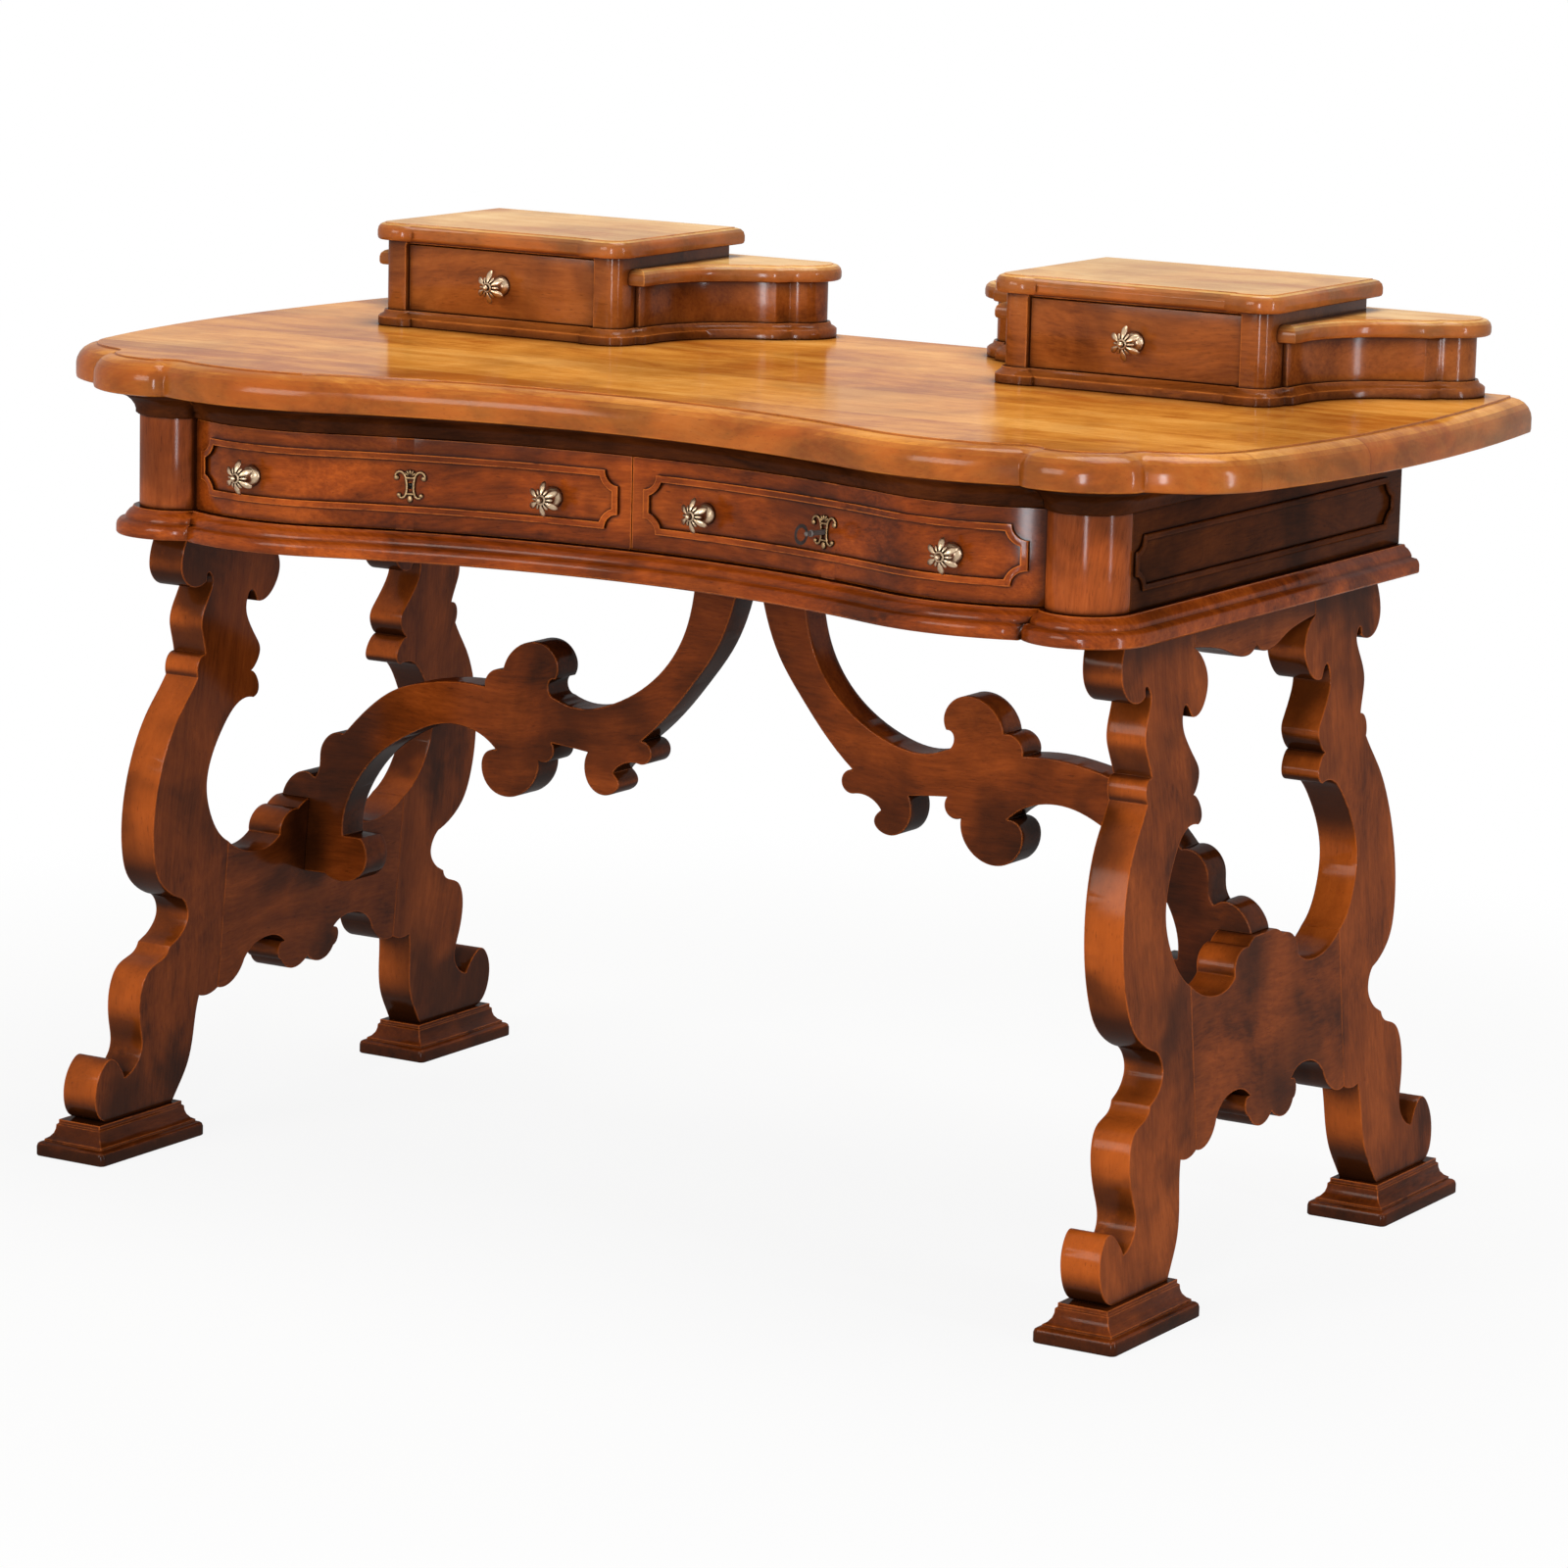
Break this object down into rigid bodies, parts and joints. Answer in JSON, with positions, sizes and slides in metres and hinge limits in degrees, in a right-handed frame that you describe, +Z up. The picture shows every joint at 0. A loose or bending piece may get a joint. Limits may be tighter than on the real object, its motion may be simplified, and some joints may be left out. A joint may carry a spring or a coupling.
{
  "type": "writing desk",
  "caption": "Serpentine writing desk on carved splayed trestles with scrolled braces, locking frieze drawers and small organizers on the moulded top.",
  "frame": {"origin": "centre of the footprint on the floor", "axes": "+X along the desk to the right as seen from the front, -Y to the front, +Z up"},
  "size_m": [1.331, 0.703, 0.882],
  "materials": {
    "top_wood": "polished honey varnish",
    "case_wood": "satin red-brown stain",
    "carved_wood": "satin red-brown stain with darkened hollows",
    "inner_wood": "plain unfinished wood",
    "fittings_metal": "antique worn brass",
    "lock_metal": "aged steel",
    "key_iron": "dark iron"
  },
  "bodies": {
    "desk": {"left_front_leg": "carved_wood", "left_rear_leg": "carved_wood", "left_centre_board": "carved_wood", "left_top_rail": "carved_wood", "left_front_foot": "carved_wood", "left_rear_foot": "carved_wood", "left_brace": "carved_wood", "left_corner_post": "case_wood", "left_side_panel": "case_wood", "left_side_bead": "case_wood", "right_front_leg": "carved_wood", "right_rear_leg": "carved_wood", "right_centre_board": "carved_wood", "right_top_rail": "carved_wood", "right_front_foot": "carved_wood", "right_rear_foot": "carved_wood", "right_brace": "carved_wood", "right_corner_post": "case_wood", "right_side_panel": "case_wood", "right_side_bead": "case_wood", "case_bottom": "case_wood", "base_moulding": "case_wood", "back_panel": "case_wood", "centre_divider": "case_wood", "cornice_moulding": "case_wood", "drawer_guides": "case_wood", "desk_top": "top_wood", "left_organizer_top": "top_wood", "left_organizer_carcass": "case_wood", "left_organizer_base": "case_wood", "left_organizer_wing_walls": "case_wood", "left_organizer_wing_tops": "top_wood", "right_organizer_top": "top_wood", "right_organizer_carcass": "case_wood", "right_organizer_base": "case_wood", "right_organizer_wing_walls": "case_wood", "right_organizer_wing_tops": "top_wood"},
    "left_drawer": {"left_drawer_front": "case_wood", "left_drawer_sides": "inner_wood", "left_drawer_back": "inner_wood", "left_drawer_bottom": "inner_wood", "left_drawer_bead": "case_wood", "left_drawer_knobs": "fittings_metal", "left_drawer_escutcheon": "fittings_metal", "left_drawer_lock": "lock_metal"},
    "left_bolt": {"left_drawer_bolt": "lock_metal"},
    "left_small_drawer": {"left_organizer_drawer": "case_wood", "left_organizer_knob": "fittings_metal"},
    "right_drawer": {"right_drawer_front": "case_wood", "right_drawer_sides": "inner_wood", "right_drawer_back": "inner_wood", "right_drawer_bottom": "inner_wood", "right_drawer_bead": "case_wood", "right_drawer_knobs": "fittings_metal", "right_drawer_escutcheon": "fittings_metal", "right_drawer_lock": "lock_metal"},
    "right_bolt": {"right_drawer_bolt": "lock_metal"},
    "right_small_drawer": {"right_organizer_drawer": "case_wood", "right_organizer_knob": "fittings_metal"},
    "key": {"key": "key_iron"}
  },
  "joints": [
    {"name": "left_drawer_slide", "type": "slide", "parent": "desk", "child": "left_drawer", "axis": [0, -1, 0], "range_m": [0, 0.3]},
    {"name": "left_small_drawer_slide", "type": "slide", "parent": "desk", "child": "left_small_drawer", "axis": [0, -1, 0], "range_m": [0, 0.14]},
    {"name": "left_bolt_slide", "type": "slide", "parent": "left_drawer", "child": "left_bolt", "axis": [0, 0, 1], "range_m": [0, 0.008]},
    {"name": "right_drawer_slide", "type": "slide", "parent": "desk", "child": "right_drawer", "axis": [0, -1, 0], "range_m": [0, 0.3]},
    {"name": "right_small_drawer_slide", "type": "slide", "parent": "desk", "child": "right_small_drawer", "axis": [0, -1, 0], "range_m": [0, 0.14]},
    {"name": "right_bolt_slide", "type": "slide", "parent": "right_drawer", "child": "right_bolt", "axis": [0, 0, 1], "range_m": [0, 0.008]},
    {"name": "key_turn", "type": "hinge", "parent": "right_drawer", "child": "key", "pos_m": [0.22402, -0.25835, 0.6765], "axis": [-0.2742, -0.9617, 0], "range_deg": [0, 90]}
  ],
  "couplings": [
    {"joint": "right_bolt_slide", "follows": "key_turn", "m_per_rad": 0.00509}
  ]
}
